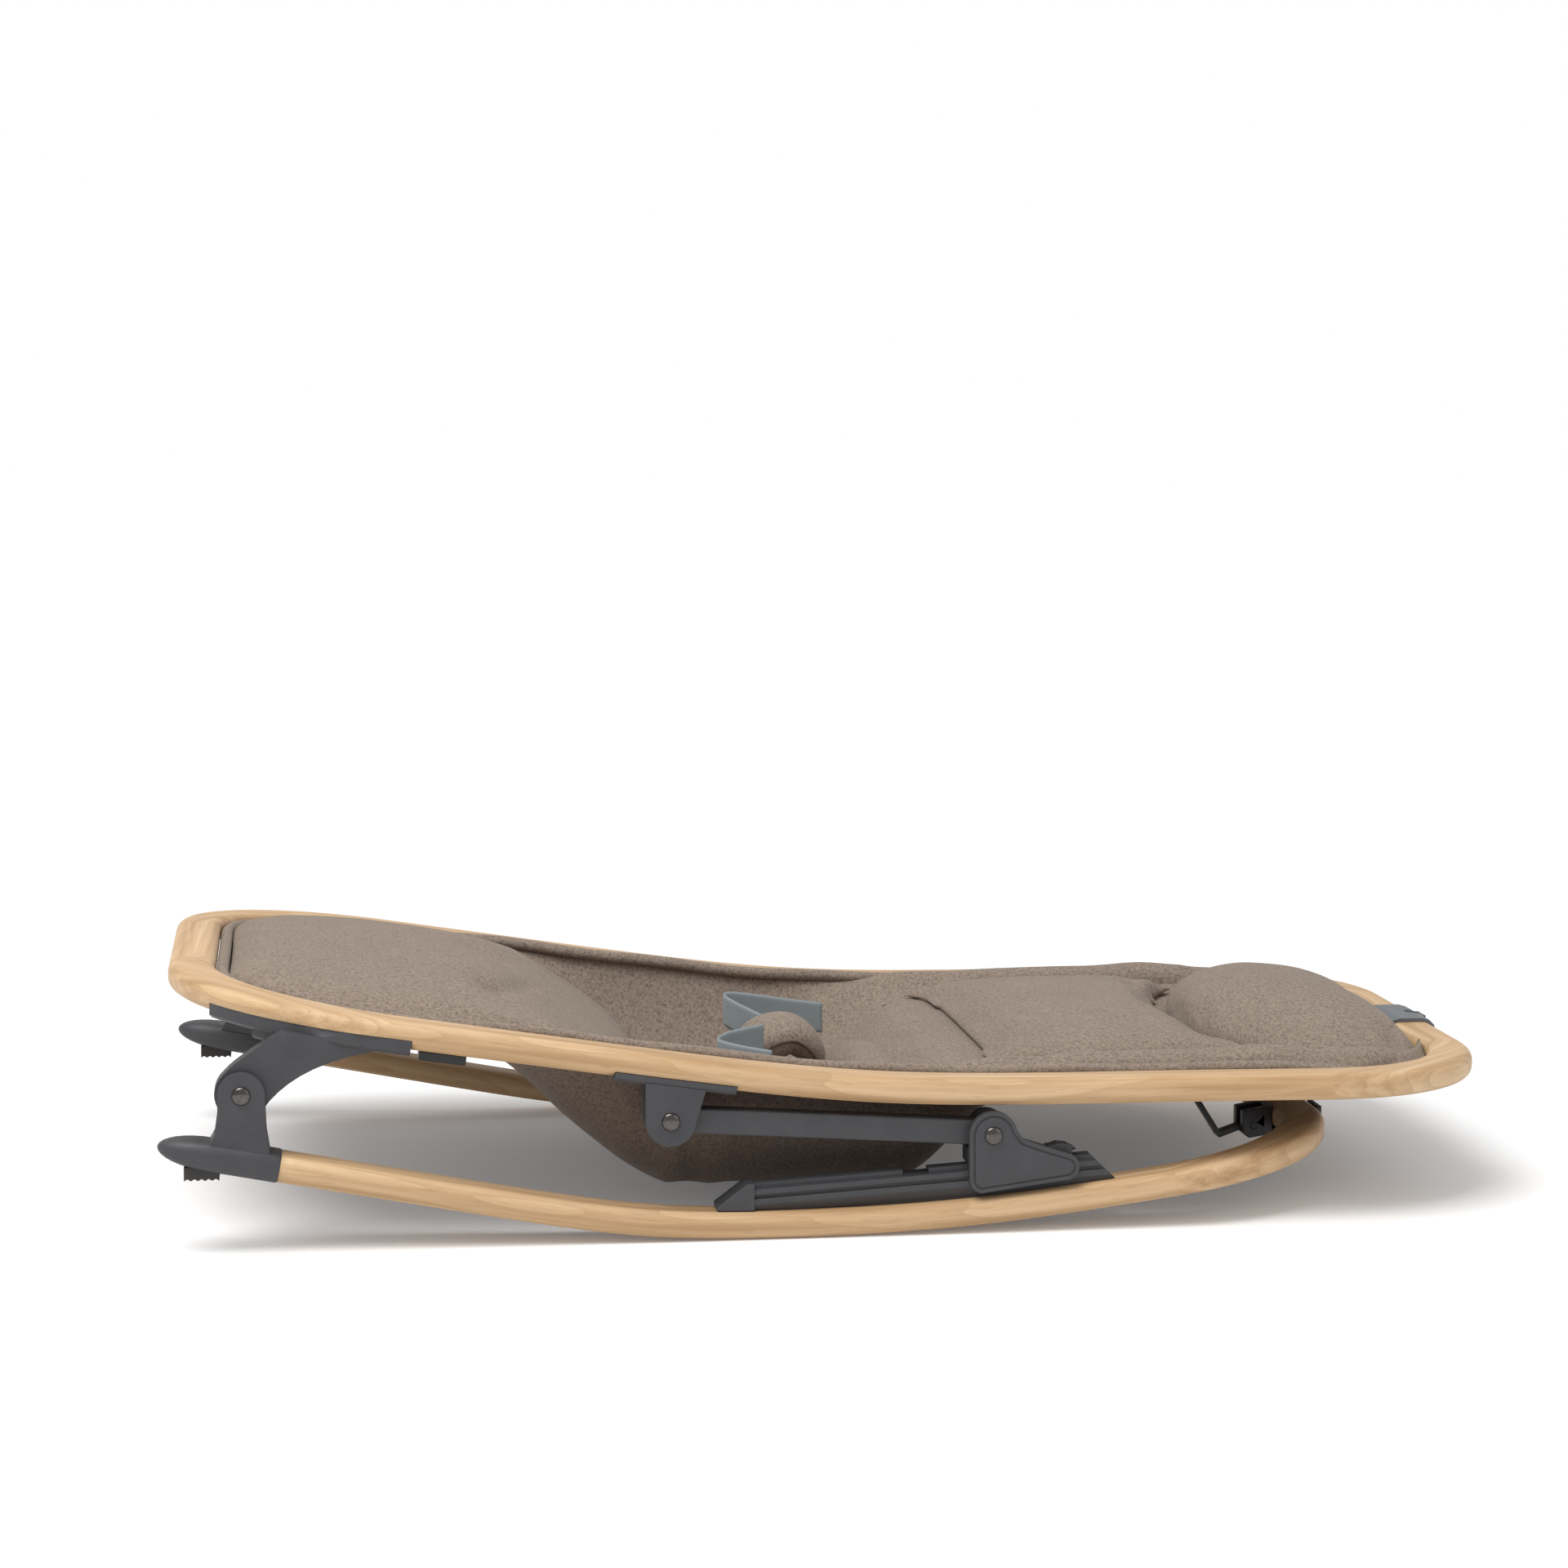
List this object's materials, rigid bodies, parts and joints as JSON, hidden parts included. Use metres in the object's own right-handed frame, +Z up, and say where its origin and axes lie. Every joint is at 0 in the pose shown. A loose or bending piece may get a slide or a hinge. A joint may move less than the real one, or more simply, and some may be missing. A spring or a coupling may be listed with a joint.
{
  "type": "baby bouncer",
  "caption": "Folding baby bouncer: a padded fabric seat in a wooden ring, hinged over a rocking wooden hoop, with sliding locks that set the recline and a fold-down stand.",
  "frame": {"origin": "on the floor, under the centre of the bounding box", "axes": "+X from the foot end to the head end, +Y to the seated child's right, +Z up; folded flat as shown"},
  "size_m": [0.8052, 0.4278, 0.1524],
  "materials": {
    "wood": "clear matt lacquer",
    "graphite_plastic": "fine grained",
    "rubber": "matt",
    "fastener_steel": "zinc plated",
    "dark_nickel": "dark nickel, polished",
    "nylon": "natural",
    "clip_plastic": "satin",
    "black_steel": "black powder coat",
    "felt_cloth": "felted melange",
    "webbing": "herringbone weave"
  },
  "bodies": {
    "base": {"base_hoop": "wood", "foot_cap_left": "graphite_plastic", "foot_cap_right": "graphite_plastic", "foot_pad_left": "rubber", "foot_pad_right": "rubber", "foot_hinge_pins": "dark_nickel", "rail_left": "graphite_plastic", "rail_right": "graphite_plastic", "rail_end_cap_left": "graphite_plastic", "rail_end_cap_right": "graphite_plastic", "rail_screws": "fastener_steel", "stand_clamp_left": "black_steel", "stand_clamp_right": "black_steel", "stand_pins": "black_steel"},
    "seat": {"seat_ring": "wood", "seat_arm_left": "graphite_plastic", "seat_arm_right": "graphite_plastic", "arm_screws": "fastener_steel", "hinge_washers": "nylon", "mid_bracket_left": "graphite_plastic", "mid_bracket_right": "graphite_plastic", "bracket_screws": "fastener_steel", "link_pins": "dark_nickel", "link_washers": "nylon", "head_clip": "clip_plastic", "clip_screw": "fastener_steel", "cover_anchor_left": "black_steel", "cover_anchor_right": "black_steel", "sling": "felt_cloth", "leg_pad": "felt_cloth", "seat_roll": "felt_cloth", "back_pad": "felt_cloth", "head_pillow": "felt_cloth", "side_bolster_left": "felt_cloth", "side_bolster_right": "felt_cloth", "crotch_tongue": "felt_cloth", "waist_strap_left": "webbing", "waist_strap_right": "webbing"},
    "links": {"link_left": "graphite_plastic", "link_right": "graphite_plastic"},
    "sliders": {"slider_left": "graphite_plastic", "slider_right": "graphite_plastic", "slider_rivets": "dark_nickel", "key_pins": "fastener_steel", "key_springs": "fastener_steel"},
    "key_left": {"release_key_left": "graphite_plastic"},
    "key_right": {"release_key_right": "graphite_plastic"},
    "stand": {"stand": "black_steel", "stand_sleeve": "rubber"}
  },
  "joints": [
    {"name": "seat_recline", "type": "hinge", "parent": "base", "child": "seat", "pos_m": [-0.3546, 0, 0.09198], "axis": [0, -1, 0], "range_deg": [0, 30.39]},
    {"name": "link_fold", "type": "hinge", "parent": "seat", "child": "links", "pos_m": [-0.109, 0, 0.07075], "axis": [0, 1, 0], "range_deg": [0, 76.62]},
    {"name": "slider_travel", "type": "slide", "parent": "base", "child": "sliders", "axis": [-0.9982, 0, -0.0602], "range_m": [0, 0.09047]},
    {"name": "release_key_left", "type": "hinge", "parent": "sliders", "child": "key_left", "pos_m": [0.116, -0.197, 0.04602], "axis": [0, -1, 0], "range_deg": [-12, 20], "stiffness_Nm_per_rad": 0.05},
    {"name": "release_key_right", "type": "hinge", "parent": "sliders", "child": "key_right", "pos_m": [0.116, 0.197, 0.04602], "axis": [0, -1, 0], "range_deg": [-12, 20], "stiffness_Nm_per_rad": 0.05},
    {"name": "stand_fold", "type": "hinge", "parent": "base", "child": "stand", "pos_m": [0.2671, 0, 0.03552], "axis": [0, -1, 0], "range_deg": [0, 76]}
  ],
  "couplings": [
    {"joint": "link_fold", "follows": "seat_recline", "ratio": 2.521},
    {"joint": "slider_travel", "follows": "seat_recline", "m_per_rad": 0.17056}
  ]
}
